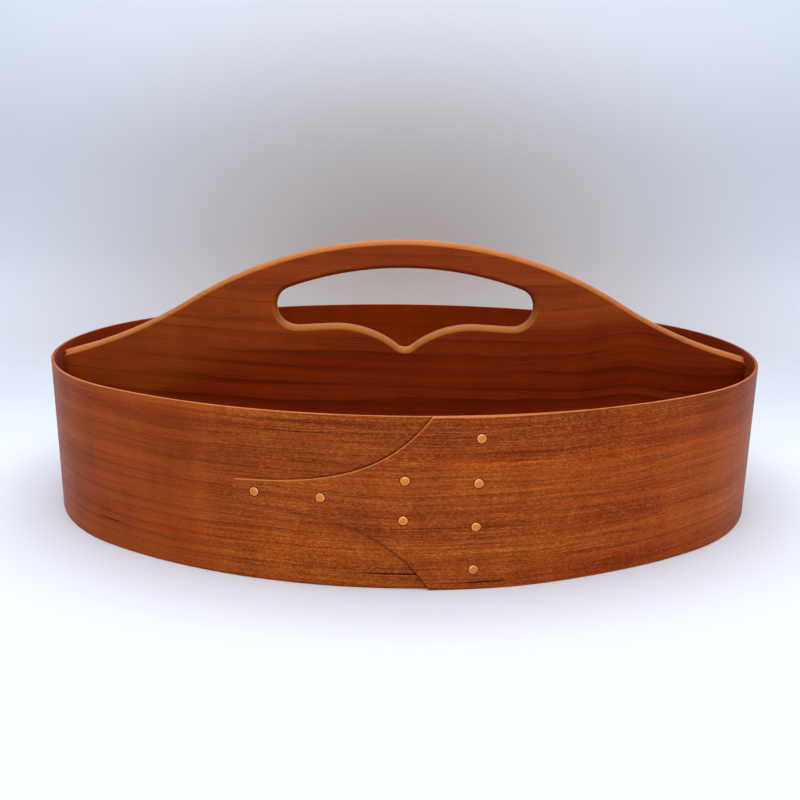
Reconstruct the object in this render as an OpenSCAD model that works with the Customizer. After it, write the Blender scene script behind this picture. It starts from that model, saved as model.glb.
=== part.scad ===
// Bent-wood tray with a fixed handle, in millimetres, standing on z = 0 with its length along x.
// One thin strip is wrapped into a four-arc oval and lapped on itself with a tapered finger that
// copper tacks hold. An oval board closes the bottom, and an upright board divides the inside and
// carries the hand hole above the rim.

/* [Tray] */
// Overall length of the bent band
tray_l = 360; // [330:1:390]
// Overall width of the bent band, without the lap
tray_w = 252; // [236:1:270]
// Radius of the rounded ends
end_r = 102; // [92:1:110]
// Height of the band
band_h = 76; // [72:1:84]
// Thickness of the bent strip
band_t = 1.5; // [1.3:0.1:1.9]
// Thickness of the base board
base_t = 6; // [5:0.5:8]
// Glue line round the base board and at the ends of the handle board
glue_gap = 0.1; // [0.06:0.02:0.2]

/* [Lap] */
// Reach of the finger from the middle of the front to its tip, round the band
finger_l = 74; // [70:1:80]
// Half width that the finger tapers to at its tip
finger_tip = 4; // [3.5:0.1:6]
// Distance round the band in which the finger widens e-fold
finger_flare = 23.4; // [20:0.2:26]
// Height of the finger's centre line
finger_z = 40.3; // [38:0.1:42]
// Distance from the middle of the front to where the finger's edges meet the band's edges
finger_root = 11; // [9:0.5:14]
// Radius of the corners at the finger's tip
finger_corner = 2; // [1:0.5:3]
// Distance from the middle of the front to where the finger starts to thin
finger_thin_from = -5; // [-10:1:0]
// Thickness that the finger thins to at its tip
finger_tip_t = 0.7; // [0.6:0.1:1]
// Glue line between the two layers of the lap
lap_gap = 0.1; // [0.08:0.01:0.15]
// Distance from the middle of the front to where the inner end starts to thin
feather_from = 38; // [35:1:45]
// Distance from the middle of the front to where the outer layer has come down
feather_to = 98; // [85:1:110]
// Thickness left at the inner end
feather_edge = 0.3; // [0.2:0.05:0.5]

/* [Tacks] */
// Diameter of a tack's head
tack_head_d = 3.9; // [3.5:0.1:4.5]
// Height of the head's dome above the wood
tack_dome = 0.3; // [0.2:0.05:0.5]
// Depth to which the head is set into the wood
tack_sink = 0.4; // [0.3:0.05:0.6]
// Diameter of a tack's shank
tack_d = 1.6; // [1.2:0.1:2]
// Length of the point that is clinched over inside the lap
clinch_l = 4; // [3:0.5:5]
// Thickness of the clinched point
clinch_t = 0.7; // [0.5:0.1:0.9]
// Distance from the middle of the front to the column of tacks
column_x = 30.3; // [26:0.1:33]
// Spacing of the tacks in the column
column_step = 19.3; // [18:0.1:20]
// Distance from the middle of the front to the pair of tacks
pair_x = -0.2; // [-3:0.1:2]
// Spacing of the pair
pair_step = 17.5; // [16:0.5:19]
// Distance from the middle of the front to the first tack on the finger
finger_tack_near = -35; // [-40:1:-30]
// Distance from the middle of the front to the tack near the finger's tip
finger_tack_far = -64; // [-66:1:-58]
// Sideways lean of the column and of the pair for each unit of height
tack_lean = 0.03; // [0:0.01:0.05]
// Clearance round tacks and screws in their holes
fit_gap = 0.1; // [0.06:0.02:0.16]

/* [Handle board] */
// Thickness of the handle board
handle_t = 9.5; // [8:0.5:12]
// Height of the top of the handle above the table
handle_h = 132; // [126:1:140]
// Radius of the crown of the handle
crown_r = 214; // [200:1:230]
// Radius of the sweeps down to the ends
sweep_r = 225; // [200:1:250]
// Depth of the handle's ends below the rim of the band
end_drop = 3.5; // [2:0.5:8]
// Radius of the rounded edges along the top and in the hand hole
edge_r = 2.2; // [1.5:0.1:3.2]

/* [Hand hole] */
// Width of the hand hole
hole_w = 133.4; // [120:0.2:140]
// Thickness of the grip above the middle of the hole
grip_t = 14; // [12:0.2:18]
// Radius of the upper edge of the hole
hole_top_r = 176; // [160:1:200]
// Radius of the ends of the hole
hole_end_r = 10.6; // [9.5:0.1:11.5]
// Radius of the two lobes that rise into the hole
lobe_r = 51; // [46:1:56]
// Distance of each lobe's crest from the middle
lobe_x = 35.5; // [33:0.5:38]
// Rise of the crests above the bottoms of the end rounds
lobe_rise = 1.1; // [0.8:0.1:1.4]
// Radius at the bottom of the notch between the lobes
notch_r = 6; // [5:0.5:7]

/* [Fixings] */
// Length of a tack that holds an end of the handle board
end_tack_l = 14; // [11:1:18]
// Spacing of the two tacks at each end
end_tack_step = 28; // [20:1:36]
// Diameter of the screws under the base
screw_d = 3.5; // [3:0.1:4]
// Diameter of a screw's countersunk head
screw_head_d = 7; // [6:0.1:8]
// Length of a screw
screw_l = 25; // [20:1:32]
// Spacing of the four screws along the handle board
screw_step = 90; // [70:1:100]
// Width of the slot in a screw's head
screw_slot = 0.9; // [0.7:0.1:1.1]
// Depth to which the screw heads lie under the base
screw_sink = 0.3; // [0.2:0.1:0.5]

/* [Hidden] */
$fn = 96;
cherry = "#94431a";
cherry_board = "#8a3f1c";
cherry_edge = "#a4552a";
copper = "#c98a52";
brass = "#c2a060";

// Four-arc oval: end rounds on the x axis, and side arcs tangent to them.
half_l = tray_l / 2;
half_w = tray_w / 2;
end_cx = half_l - end_r;
side_r = (end_cx * end_cx / (half_w - end_r) + half_w + end_r) / 2;
side_cy = side_r - half_w;
join_turn = atan2(end_cx, side_cy);

// Lap: the outer layer lies one strip and one glue line proud of the oval.
lap_rise = band_t + lap_gap;
lap_r = side_r + lap_rise;
lap_depth = band_t + lap_rise;
feather_lift = (feather_edge + lap_gap) / lap_rise;
feather_end = feather_from + (feather_to - feather_from) * acos(2 * feather_lift - 1) / 180;
strip_steps = 340;
finger_steps = 28;
corner_steps = 5;
fine = 360;
past = 2;

// Handle board in the x-z plane: crown, sweeps and ends.
handle_half = end_cx + sqrt(pow(end_r - band_t, 2) - pow(handle_t / 2, 2)) - glue_gap;
blank_half = handle_half + past;
handle_end_z = band_h - end_drop;
crown_c = [0, handle_h - crown_r];
sweep_c = meet(crown_c, crown_r + sweep_r, [handle_half, handle_end_z], sweep_r);

// Hand hole: upper arc, end rounds, lobes and notch, each tangent to the next.
hole_top_c = [0, handle_h - grip_t - hole_top_r];
hole_end_x = hole_w / 2 - hole_end_r;
hole_end_c = [hole_end_x, hole_top_c.y + sqrt(pow(hole_top_r - hole_end_r, 2) - pow(hole_end_x, 2))];
lobe_c = [lobe_x, hole_end_c.y - hole_end_r + lobe_rise - lobe_r];
notch_c = [0, lobe_c.y + sqrt(pow(lobe_r + notch_r, 2) - pow(lobe_x, 2))];
flat_turn = turn_to(lobe_c, hole_end_c)
    + acos((lobe_r + hole_end_r) / norm(hole_end_c - lobe_c));
hub = [0, hole_end_c.y];
ray_steps = [3, 9, 6, 2, 20, 13];
round_steps = 4;
far_off = 10000;

// Tacks of the lap, each as its distance round the front and its height.
tack_spots = concat(
    [for (i = [-1.5:1.5]) [column_x + tack_lean * i * column_step, band_h / 2 + i * column_step]],
    [for (i = [-0.5, 0.5]) [pair_x + tack_lean * i * pair_step, finger_z + i * pair_step]],
    [for (x = [finger_tack_near, finger_tack_far]) [x, finger_z]]);
end_tack_z = (base_t + handle_end_z) / 2;
point_blunt = 0.25;

// Angle of the line from point a to point b
function turn_to(a, b) = atan2(b.y - a.y, b.x - a.x);

// Unit vector at an angle
function unit(turn) = [cos(turn), sin(turn)];

// Upper left crossing of the circle round a with radius ra and the circle round b with radius rb
function meet(a, ra, b, rb) =
    let (d = norm(b - a), along = (ra * ra - rb * rb + d * d) / (2 * d))
    a + along * unit(turn_to(a, b)) + sqrt(ra * ra - along * along) * unit(turn_to(a, b) + 90);

// Distances from p along the unit vector v to the circle round c with radius r, near and far side
function half_chord(p, v, c, r) = r * r - (c - p) * (c - p) + pow((c - p) * v, 2);
function near_side(p, v, c, r) =
    let (q = half_chord(p, v, c, r)) q < 0 ? far_off : (c - p) * v - sqrt(q);
function far_side(p, v, c, r) = (c - p) * v + sqrt(half_chord(p, v, c, r));

// Point of the oval grown by d, where turn is how far its outward normal has turned from the front
// round by the left end
function oval_point(turn, d) =
    let (t = (turn + 360) % 360,
         front = t <= join_turn || t >= 360 - join_turn,
         back = abs(t - 180) <= join_turn,
         side = front ? 1 : -1,
         c = front || back ? [0, side * side_cy] : [t < 180 ? -end_cx : end_cx, 0],
         r = front || back ? side_r : end_r)
    c - (r + d) * [sin(t), cos(t)];

// Turn of the normal for a distance s round the front on radius r, positive to the right
function front_turn(s, r = side_r) = s / r * 180 / PI;

// Share of the lap's rise at a distance s round the front: one over the lap, none past the ramp
function lift(s) =
    s <= feather_from ? 1 : s >= feather_to ? 0
    : (1 + cos(180 * (s - feather_from) / (feather_to - feather_from))) / 2;

// Offsets of the strip's inner and outer face from the oval on its first and its second pass
function first_pass(s) = [-band_t, min(0, lap_rise * lift(s) - lap_depth + band_t)];
function second_pass(s) = [lap_rise * lift(s) - band_t, lap_rise * lift(s) - finger_thin(s)];

// What the finger has lost of its thickness at s
function finger_thin(s) =
    (band_t - finger_tip_t) * max(0, finger_thin_from - s) / (finger_thin_from + finger_l);

// Half width of the finger at s for the share of the band on one side of its centre line
function finger_half(s, share) =
    let (q = max(0, 1 - (s + finger_l) / finger_corner))
    finger_tip + (share - finger_tip) * exp((s - finger_root) / finger_flare)
    - finger_corner * (1 - sqrt(1 - q * q));

// Reach of the handle board from the hub along v, with its top edge set in by d
function board_reach(v, d) =
    let (joint = crown_c + (crown_r - d) * unit(turn_to(crown_c, sweep_c)),
         top = turn_to([0, 0], v) >= turn_to(hub, joint)
             ? far_side(hub, v, crown_c, crown_r - d)
             : near_side(hub, v, sweep_c, sweep_r + d))
    min(top, v.x > 0 ? blank_half / v.x : far_off, v.y < 0 ? (base_t - hub.y) / v.y : far_off);

// Points where the arcs of the hand hole join, with the hole grown by d
function hole_joints(d) = [
    lobe_c + (lobe_r - d) * unit(turn_to(lobe_c, notch_c)),
    lobe_c + (lobe_r - d) * unit(flat_turn),
    hole_end_c - (hole_end_r + d) * unit(flat_turn),
    hole_top_c + (hole_top_r + d) * unit(turn_to(hole_top_c, hole_end_c))];

// Reach of the hand hole from the hub along v, with the hole grown by d
function hole_reach(v, d) =
    let (joints = hole_joints(d),
         turn = turn_to([0, 0], v),
         past_joint = [for (j = joints) turn >= turn_to(hub, j)])
    past_joint[3] ? far_side(hub, v, hole_top_c, hole_top_r + d)
    : past_joint[2] ? far_side(hub, v, hole_end_c, hole_end_r + d)
    : past_joint[1] ? ((joints[1] - hub) * unit(flat_turn)) / (v * unit(flat_turn))
    : past_joint[0] ? near_side(hub, v, lobe_c, lobe_r - d)
    : far_side(hub, v, notch_c, notch_r + d);

// Even steps from a to b, without b
function spread(a, b, n) = [for (i = [0:n - 1]) a + (b - a) * i / n];

// Angles of the rays that cut the right half of the handle board, from straight down to straight up
function half_rays() =
    let (j = [for (p = hole_joints(0)) turn_to(hub, p)],
         stops = [-90, j[0], turn_to(hub, [blank_half, base_t]), j[1], j[2], j[3], 90])
    [for (i = [0:len(ray_steps) - 1]) each spread(stops[i], stops[i + 1], ray_steps[i]), 90];

// Places through the thickness of the board, each as its depth and how far the edge is set in
function edge_round() =
    let (turns = [for (i = [0:round_steps]) 90 * i / round_steps],
         front = [for (t = turns) [edge_r * (1 - cos(t)) - handle_t / 2, edge_r * (1 - sin(t))]])
    concat(front, [for (i = [round_steps:-1:0]) [-front[i].x, front[i].y]]);

// Lays its children on the lap, with z outwards from the wood
module on_lap(spot) {
    translate([0, side_cy, spot.y])
        rotate([0, 0, front_turn(spot.x, lap_r)])
            translate([0, finger_thin(spot.x) - lap_r, 0])
                rotate([90, 0, 0])
                    children();
}

// Lays its children on both ends of the band, at the heights of the end tacks
module on_ends() {
    for (side = [-1, 1], i = [-0.5, 0.5])
        translate([side * half_l, 0, end_tack_z + i * end_tack_step])
            rotate([0, side * 90, 0])
                children();
}

// Lays its children under the handle board, with z upwards from the table
module on_screws() {
    for (i = [-1.5:1.5])
        translate([i * screw_step, 0, 0])
            children();
}

// Oval grown by d
module oval(d) {
    span = end_cx + (end_r + d) * sin(join_turn);
    intersection() {
        square([2 * span, 2 * (half_w + d) + past], center = true);
        translate([0, side_cy])
            circle(side_r + d, $fn = fine);
        translate([0, -side_cy])
            circle(side_r + d, $fn = fine);
    }
    for (side = [-1, 1])
        translate([side * end_cx, 0])
            circle(end_r + d, $fn = fine);
}

// Plan of the strip: its inner face to the tip of the finger, and its outer face back again
module strip_plan() {
    from = -front_turn(feather_end);
    to = 360 + front_turn(finger_l, lap_r);
    faces = [for (i = [0:strip_steps])
        let (turn = from + (to - from) * i / strip_steps,
             d = turn < 180 ? first_pass(-turn * PI / 180 * side_r)
                            : second_pass((360 - turn) * PI / 180 * side_r))
        [oval_point(turn, d[0]), oval_point(turn, d[1])]];
    polygon(concat([for (f = faces) f[0]], [for (i = [strip_steps:-1:0]) faces[i][1]]));
}

// Outline of the finger, drawn on the front
module finger_outline() {
    places = concat(spread(-finger_l, finger_corner - finger_l, corner_steps),
                    spread(finger_corner - finger_l, finger_root + 2 * past, finger_steps),
                    [finger_root + 2 * past]);
    edge = [for (s = places) [lap_r * sin(front_turn(s, lap_r)), s]];
    polygon(concat(
        [for (e = edge) [e.x, finger_z + finger_half(e.y, band_h - finger_z)]],
        [for (i = [len(edge) - 1:-1:0]) [edge[i].x, finger_z - finger_half(edge[i].y, finger_z)]]));
}

// What is cut from the outer layer to leave the finger
module lap_waste() {
    left = -lap_r * sin(front_turn(finger_l + past, lap_r));
    right = lap_r * sin(front_turn(finger_root + past, lap_r));
    difference() {
        translate([0, side_cy - lap_r * cos(front_turn(finger_l, lap_r)) + past, 0])
            rotate([90, 0, 0])
                linear_extrude(half_w)
                    difference() {
                        translate([left, -past / 2])
                            square([right - left, band_h + past]);
                        finger_outline();
                    }
        translate([0, side_cy, -2 * past])
            cylinder(r = side_r + lap_gap / 2, h = band_h + 4 * past, $fn = fine);
    }
}

// Hole for a tack: the seat of its head, and a bore for its shank
module tack_hole(depth) {
    translate([0, 0, -tack_sink])
        cylinder(d = tack_head_d + 2 * fit_gap, h = tack_sink + past);
    translate([0, 0, -depth])
        cylinder(d = tack_d + 2 * fit_gap, h = depth);
}

// Head of a tack, a low dome set into the wood
module tack_head() {
    dome_r = (pow(tack_head_d / 2, 2) + pow(tack_dome, 2)) / (2 * tack_dome);
    intersection() {
        translate([0, 0, -tack_sink])
            cylinder(d = tack_head_d, h = tack_sink + tack_dome);
        translate([0, 0, tack_dome - dome_r])
            sphere(dome_r, $fn = fine);
    }
}

// Tack through both layers of the lap, with its point clinched along the inside at a depth
module lap_tack(depth) {
    inside = depth + fit_gap;
    tack_head();
    translate([0, 0, -inside - clinch_t])
        cylinder(d = tack_d, h = inside + clinch_t - tack_sink / 2);
    translate([0, 0, -inside - clinch_t])
        linear_extrude(clinch_t)
            polygon([[0, -tack_d / 2], [0, tack_d / 2], [clinch_l, 0]]);
}

// Tack driven into an end of the handle board
module end_tack() {
    tack_head();
    translate([0, 0, tack_d - end_tack_l])
        cylinder(d = tack_d, h = end_tack_l - tack_d - tack_sink / 2);
    translate([0, 0, -end_tack_l])
        cylinder(d1 = tack_d * point_blunt, d2 = tack_d, h = tack_d);
}

// Outline of a countersunk screw, grown by d, as it is turned round its axis
module screw_outline(d) {
    head = screw_head_d / 2;
    shank = screw_d / 2;
    top = screw_l - screw_d;
    polygon([[0, screw_sink], [head + d, screw_sink], [shank + d, screw_sink + head - shank],
             [shank + d, top], [shank * point_blunt + d, screw_l], [0, screw_l]]);
}

// Rounded handle board before its ends are cut: its section is carried round the hand hole from ray
// to ray
module handle_blank() {
    right = half_rays();
    rays = concat(right, [for (i = [len(right) - 2:-1:1]) 180 - right[i]]);
    places = edge_round();
    steps = len(places);
    ring = 2 * steps;
    points = [for (ray = rays)
        let (side = ray > 90 ? -1 : 1, v = [side * cos(ray), sin(ray)])
        each concat(
            [for (p = places) let (r = board_reach(v, p.y)) [side * r * v.x, p.x, hub.y + r * v.y]],
            [for (i = [steps - 1:-1:0])
                let (p = places[i], r = hole_reach(v, p.y)) [side * r * v.x, p.x, hub.y + r * v.y]])];
    faces = [for (i = [0:len(rays) - 1], j = [0:ring - 1])
        let (a = i * ring, b = ((i + 1) % len(rays)) * ring, k = (j + 1) % ring)
        each [[a + j, b + j, b + k], [a + j, b + k, a + k]]];
    polyhedron(points, faces);
}

module side_band() {
    color(cherry)
        difference() {
            linear_extrude(band_h)
                strip_plan();
            lap_waste();
            for (spot = tack_spots)
                on_lap(spot)
                    tack_hole(lap_depth + past);
            on_ends()
                tack_hole(band_t + past);
        }
}

module base_board() {
    color(cherry_board)
        difference() {
            linear_extrude(base_t)
                oval(-band_t - glue_gap);
            on_screws() {
                rotate_extrude()
                    screw_outline(fit_gap);
                translate([0, 0, -past])
                    cylinder(d = screw_head_d + 2 * fit_gap, h = past + screw_sink);
            }
        }
}

module handle_board() {
    color(cherry_edge)
        difference() {
            intersection() {
                handle_blank();
                cube([2 * handle_half, tray_w, 3 * handle_h], center = true);
            }
            on_screws()
                cylinder(d = screw_d + 2 * fit_gap, h = screw_l + fit_gap);
            on_ends()
                translate([0, 0, -end_tack_l - fit_gap])
                    cylinder(d = tack_d + 2 * fit_gap, h = end_tack_l);
        }
}

module lap_tacks() {
    color(copper)
        for (spot = tack_spots)
            on_lap(spot)
                lap_tack(lap_depth - finger_thin(spot.x));
}

module end_tacks() {
    color(copper)
        on_ends()
            end_tack();
}

module base_screws() {
    color(brass)
        on_screws()
            difference() {
                rotate_extrude()
                    screw_outline(0);
                translate([0, 0, screw_sink])
                    cube([screw_head_d, screw_slot, 2 * screw_slot], center = true);
            }
}

side_band();
base_board();
handle_board();
lap_tacks();
end_tacks();
base_screws();
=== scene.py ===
# %% [markdown]
# # A bentwood tray with a fixed handle
# This lesson dresses a tray that is bent from one thin strip of cherry. The strip is lapped on
# itself at the front, where copper tacks hold its tapered finger, and an upright board rises above
# the rim to a hand hole. The exact solids come in as a fixed frame and give every main size. What
# an exact solid lacks is added here: eased edges, grain that follows the strip, hammered metal,
# and light.

import math

import bpy
import numpy as np
from mathutils import Matrix, Vector


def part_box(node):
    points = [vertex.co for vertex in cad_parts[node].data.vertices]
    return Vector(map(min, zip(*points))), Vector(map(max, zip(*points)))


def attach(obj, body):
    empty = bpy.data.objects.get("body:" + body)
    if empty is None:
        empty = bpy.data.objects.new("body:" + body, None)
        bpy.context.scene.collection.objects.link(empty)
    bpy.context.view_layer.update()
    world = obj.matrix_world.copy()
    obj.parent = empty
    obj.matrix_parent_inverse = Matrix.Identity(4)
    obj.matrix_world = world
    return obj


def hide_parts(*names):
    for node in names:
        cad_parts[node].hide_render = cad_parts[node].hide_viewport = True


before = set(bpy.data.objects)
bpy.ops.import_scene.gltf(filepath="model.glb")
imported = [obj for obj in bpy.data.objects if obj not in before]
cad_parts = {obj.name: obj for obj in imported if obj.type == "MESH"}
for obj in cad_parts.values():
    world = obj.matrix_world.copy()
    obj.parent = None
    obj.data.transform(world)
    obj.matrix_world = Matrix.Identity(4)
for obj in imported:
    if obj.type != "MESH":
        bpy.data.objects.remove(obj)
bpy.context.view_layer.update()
print("nodes of the frame:", ", ".join(sorted(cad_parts)))

# %% [markdown]
# ## Sizes
# Woodworkers think in millimetres and Blender in metres, so the script works in millimetres and
# turns them into metres only where a mesh is written. The main sizes are read off the frame's
# boxes, so that the dressed tray can never drift away from the solids that carry it.

# %% Read the main sizes
MM = 0.001


def node_box(name):
    """Lowest and highest corner of a node of the frame, in millimetres, to a hundredth."""
    return [np.round(np.array(corner) / MM, 2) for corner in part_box(name)]


BAND_LOW, BAND_HIGH = node_box("side_band")
BASE_HIGH = node_box("base_board")[1]
BOARD_HIGH = node_box("handle_board")[1]
HALF_L = BAND_HIGH[0]
HALF_W = BAND_HIGH[1]
BAND_H = BAND_HIGH[2]
LAP_RISE = -BAND_LOW[1] - HALF_W
LAP_GAP = 0.1
BAND_T = LAP_RISE - LAP_GAP
print(f"band {2 * HALF_L:.1f} x {2 * HALF_W:.1f} x {BAND_H:.1f} mm, strip {BAND_T:.2f} mm thick")

# %% [markdown]
# ## From arrays to a mesh
# Every new piece is a grid of points, worked out as whole arrays. Small helpers turn such a grid
# into a Blender mesh. A closed mesh has a volume, and its sign says whether the faces look
# outwards, so make_piece measures it and turns the faces round where that is needed. Edges that
# are sharper than a limit stay crisp, and all others are shaded smooth.

# %% Helpers for meshes
CRISP = math.radians(38)


def grid_quads(rows, columns, closed=False):
    """Corners of the quads of a grid of points counted row by row. The columns always close on
    themselves, and with closed the rows do too."""
    row = np.arange(rows if closed else rows - 1)[:, None]
    column = np.arange(columns)[None, :]
    below, beside = (row + 1) % rows, (column + 1) % columns
    corners = [row * columns + column, row * columns + beside,
               below * columns + beside, below * columns + column]
    return np.stack(corners, axis=-1).reshape(-1, 4)


def enclosed_volume(points, face):
    """Six times the volume under a fan of triangles: the sum of p0 . (p1 x p2)."""
    first = points[face[..., 0]]
    return sum(
        np.einsum("ij,ij->", first, np.cross(points[face[..., k]], points[face[..., k + 1]]))
        for k in range(1, face.shape[-1] - 1))


def put_in_scene(name, data):
    """New object that shows a mesh, a lamp or a camera."""
    made = bpy.data.objects.new(name, data)
    bpy.context.scene.collection.objects.link(made)
    return made


def make_piece(name, points, quads, caps=()):
    """Mesh object from points in millimetres, an array of quads and a few longer end faces."""
    caps = [np.asarray(cap) for cap in caps]
    volume = enclosed_volume(points, quads)
    volume += sum(enclosed_volume(points, cap[None, :]) for cap in caps)
    turn = 1 if volume > 0 else -1
    faces = quads[:, ::turn].tolist() + [cap[::turn].tolist() for cap in caps]
    mesh = bpy.data.meshes.new(name)
    mesh.from_pydata((points * MM).tolist(), [], faces)
    mesh.shade_smooth()
    mesh.set_sharp_from_angle(angle=CRISP)
    print(f"{name}: {len(points)} points, {len(faces)} faces, {abs(volume) / 6 * MM:.2f} cm3")
    return put_in_scene(name, mesh)


def paint_points(piece, title, values):
    """Stores one number per point under a title that a material can read."""
    layer = piece.data.attributes.new(title, "FLOAT", "POINT")
    layer.data.foreach_set("value", np.asarray(values, dtype=np.float32).ravel())


def settle(piece, slot, *nodes):
    """Fixes a piece to the tray in place of nodes of the frame. The slot it is given is not used."""
    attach(piece, "root")
    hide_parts(*nodes)


# %% [markdown]
# ## The oval
# The strip is bent round a form whose outline is four arcs: a round at each end and a flatter arc
# on each long side, tangent where they meet. It could be drawn as a Bezier loop, but arcs are what
# a maker draws with a compass, and growing an arc outline only lengthens its radii. A point is
# found by how far the outward normal has turned from the front, round by the left end.

# %% Work out the four arcs
TAU = 2 * np.pi
END_R = 102
END_CX = HALF_L - END_R
SIDE_R = (END_CX**2 / (HALF_W - END_R) + HALF_W + END_R) / 2
SIDE_CY = SIDE_R - HALF_W
JOIN = math.atan2(END_CX, SIDE_CY)
LAP_R = SIDE_R + LAP_RISE


def oval_point(turn, grow):
    """Point of the oval grown by grow: the arc's centre minus (radius + grow) times (sin turn,
    cos turn), with the centre and the radius of the arc that the turn falls on."""
    t = np.mod(turn, TAU)
    front = (t <= JOIN) | (t >= TAU - JOIN)
    back = np.abs(t - np.pi) <= JOIN
    side = front | back
    centre_x = np.where(side, 0, np.where(t < np.pi, -END_CX, END_CX))
    centre_y = np.where(front, SIDE_CY, np.where(back, -SIDE_CY, 0))
    reach = np.where(side, SIDE_R, END_R) + grow
    return centre_x - reach * np.sin(t), centre_y - reach * np.cos(t)


print(f"side arcs {SIDE_R:.2f} mm, end arcs {END_R} mm, joined {math.degrees(JOIN):.1f} deg round")

# %% [markdown]
# ## The bent strip
# The band is one strip that goes round a little more than once. Its inner end is planed to a
# feather edge, so that the outer layer can come down without a step, and its outer end is cut to a
# tapered finger. A boolean on a ring would lose the direction of the grain. So a section with
# eased corners is carried along the path instead: at each station the strip has an inner and an
# outer offset from the oval, and a lower and an upper edge, which draw together over the finger.

# %% Stations along the strip
FINGER_L, FINGER_ROOT = 74, 11
FINGER_Z, FINGER_TIP, FINGER_FLARE, FINGER_CORNER = 40.3, 4, 23.4, 2
FINGER_THIN_FROM, FINGER_TIP_T = -5, 0.7
FEATHER_FROM, FEATHER_TO, FEATHER_EDGE = 38, 98, 0.3
COARSE, FINE, CORNER_STEPS = 3, 0.4, 9


def lift(s):
    """Share of the lap's rise at s millimetres right of the middle: half a cosine wave."""
    share = np.clip((s - FEATHER_FROM) / (FEATHER_TO - FEATHER_FROM), 0, 1)
    return (1 + np.cos(np.pi * share)) / 2


def finger_half(s, share):
    """Half width of the finger on one side of its centre line: the tip's half width plus a part
    that grows e-fold in every flare length, with a round taken off the tip's corner."""
    flare = np.exp((s - FINGER_ROOT) / FINGER_FLARE)
    corner = np.clip(1 - (s + FINGER_L) / FINGER_CORNER, 0, 1)
    return FINGER_TIP + (share - FINGER_TIP) * flare - FINGER_CORNER * (1 - np.sqrt(1 - corner**2))


def finger_thin(s):
    """What the finger has lost of its thickness: none at its root, growing evenly to its tip."""
    share = np.maximum(0, FINGER_THIN_FROM - s) / (FINGER_THIN_FROM + FINGER_L)
    return (BAND_T - FINGER_TIP_T) * share


FEATHER_LIFT = (FEATHER_EDGE + LAP_GAP) / LAP_RISE
FEATHER_END = FEATHER_FROM + (FEATHER_TO - FEATHER_FROM) * math.acos(2 * FEATHER_LIFT - 1) / np.pi
root_turn = TAU - FINGER_ROOT / LAP_R
start_turn = -FEATHER_END / SIDE_R
shank = -np.arange(-FINGER_ROOT, FINGER_L - FINGER_CORNER, FINE)
corner = FINGER_CORNER * (1 - np.sin(np.linspace(0, np.pi / 2, CORNER_STEPS))) - FINGER_L
rough_length = (root_turn - start_turn) * (HALF_L + HALF_W) / 2
around = np.linspace(start_turn, root_turn, int(rough_length / COARSE), endpoint=False)
turns = np.concatenate([around, TAU - shank / LAP_R, TAU - corner / LAP_R])
print(f"{len(turns)} stations, feather edge {FEATHER_END:.1f} mm right of the middle")

# %% Offsets and edges at each station
first = turns < np.pi
s_side = np.where(first, -turns, TAU - turns) * SIDE_R
s_lap = (TAU - turns) * LAP_R
inner = np.where(first, -BAND_T, LAP_RISE * lift(s_side) - BAND_T)
outer = np.where(first, np.minimum(0, LAP_RISE * (lift(s_side) - 1)),
                 LAP_RISE * lift(s_side) - finger_thin(s_lap))
on_finger = s_lap < FINGER_ROOT
top = np.where(on_finger, FINGER_Z + finger_half(s_lap, BAND_H - FINGER_Z), BAND_H)
bottom = np.where(on_finger, FINGER_Z - finger_half(s_lap, FINGER_Z), 0)
path_x, path_y = oval_point(turns, (inner + outer) / 2)
along = np.concatenate([[0], np.cumsum(np.hypot(np.diff(path_x), np.diff(path_y)))])
along -= np.interp(0, turns, along)
ROUND = np.interp(TAU, turns, along)
print(f"strip {along[-1] - along[0]:.0f} mm long, once round {ROUND:.0f} mm")

# %% Carry the eased section along the strip
RIM_EASE, FINGER_EASE, STEEPEST, EASE_SHARE = 0.3, 0.12, 1.8, 0.45
EASE_STEPS, FACE_ROWS = 4, 14


def eased_section():
    """Section of the strip as a closed ring. Each point says which face it belongs to (0 inner, 1
    outer), which edge (0 lower, 1 upper), and how many easing radii it stays back from them."""
    rows = (1 - np.cos(np.pi * np.linspace(0, 1, FACE_ROWS))) / 2
    arc = np.linspace(0, np.pi / 2, EASE_STEPS + 1)[1:]
    face = np.stack([np.ones_like(rows), rows, np.zeros_like(rows), 1 - rows, rows], axis=1)
    upper = np.stack([np.ones_like(arc), np.ones_like(arc), 1 - np.cos(arc),
                      np.zeros_like(arc), 1 - np.sin(arc)], axis=1)
    outside = np.concatenate([face, upper])
    inside = outside[::-1] * [0, 1, 1, 1, 1]
    lower = upper[:, [0, 1, 2, 4, 3]] * [1, 0, 1, 1, 1]
    return np.concatenate([outside, inside, lower * [0, 1, 1, 1, 1], lower[::-1]])


section = eased_section()
ease = np.where(on_finger, FINGER_EASE, RIM_EASE)
ease_top = ease * np.minimum(STEEPEST, np.hypot(1, np.gradient(top, along)))
ease_bottom = ease * np.minimum(STEEPEST, np.hypot(1, np.gradient(bottom, along)))
ease_in = np.minimum(ease, EASE_SHARE * (outer - inner))
ring_d = np.where(section[:, 0] > 0,
                  outer[:, None] - section[:, 2] * ease_in[:, None],
                  inner[:, None] + section[:, 2] * ease_in[:, None])
ring_z = (bottom[:, None] + section[:, 1] * (top - bottom)[:, None]
          + section[:, 3] * ease_bottom[:, None] - section[:, 4] * ease_top[:, None])
ring_x, ring_y = oval_point(turns[:, None], ring_d)
points = np.stack([ring_x, ring_y, ring_z], axis=-1).reshape(-1, 3)
ring = len(section)
ends = [np.arange(ring)[::-1], np.arange(ring) + (len(turns) - 1) * ring]
band = make_piece("bent_band", points, grid_quads(len(turns), ring), ends)
settle(band, "band_wood", "side_band")
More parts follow.
